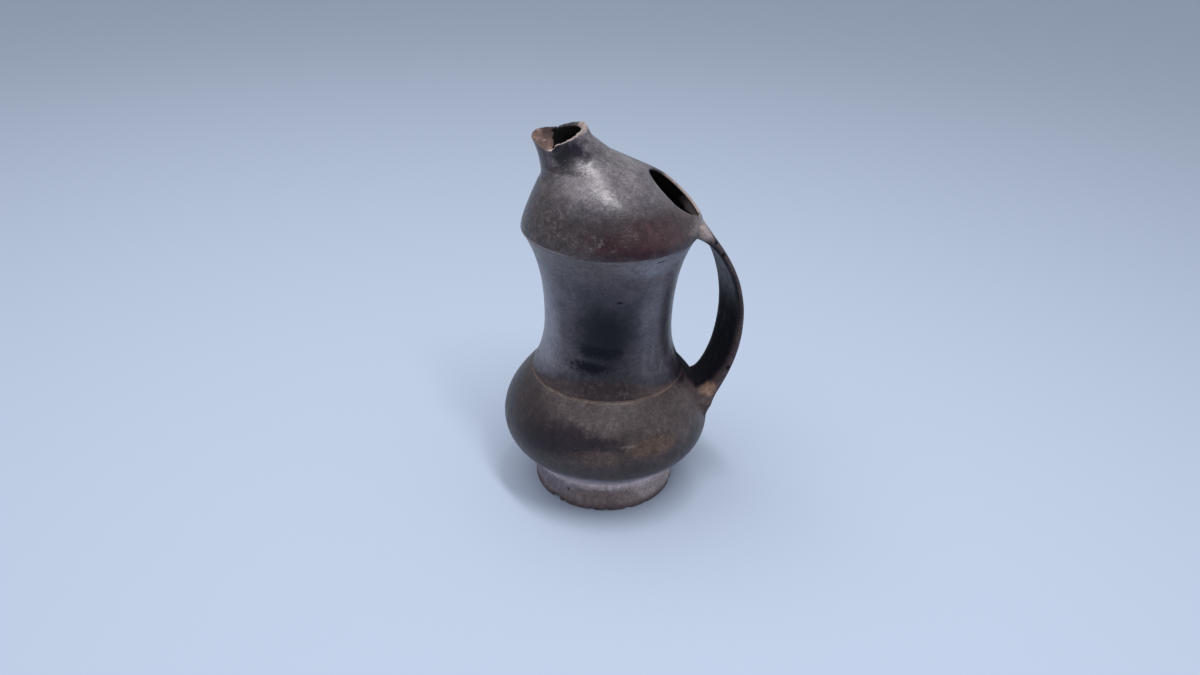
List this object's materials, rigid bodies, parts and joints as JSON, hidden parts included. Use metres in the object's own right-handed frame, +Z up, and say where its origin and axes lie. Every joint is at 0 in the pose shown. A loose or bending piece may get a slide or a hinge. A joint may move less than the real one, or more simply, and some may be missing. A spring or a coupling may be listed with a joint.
{
  "type": "spouted jug",
  "caption": "Black-burnished pottery jug with a ring foot, round belly, waisted neck, hooded top drawn into a beaked spout, rear filler hole and a strap handle for pouring.",
  "frame": {"origin": "middle of the jug's box, on the plane it stands on", "axes": "+Z up, spout towards -X, handle and filler hole towards +X"},
  "size_m": [0.1604, 0.1426, 0.2584],
  "materials": {
    "foot_clay": "scraped, matt",
    "belly_clay": "burnished, brown-black",
    "neck_clay": "burnished, blue-black satin",
    "hood_clay": "burnished, grey satin",
    "spout_clay": "worn, pale broken edge",
    "handle_clay": "burnished, black",
    "luting_clay": "smeared, unpolished"
  },
  "bodies": {
    "root": {"foot_ring": "foot_clay", "base_disc": "luting_clay", "belly": "belly_clay", "neck": "neck_clay", "hood": "hood_clay", "spout": "spout_clay", "handle": "handle_clay", "foot_luting": "luting_clay", "base_luting": "luting_clay", "neck_luting": "luting_clay", "hood_luting": "luting_clay", "spout_luting": "luting_clay", "handle_top_luting": "luting_clay", "handle_foot_luting": "luting_clay"}
  },
  "joints": []
}
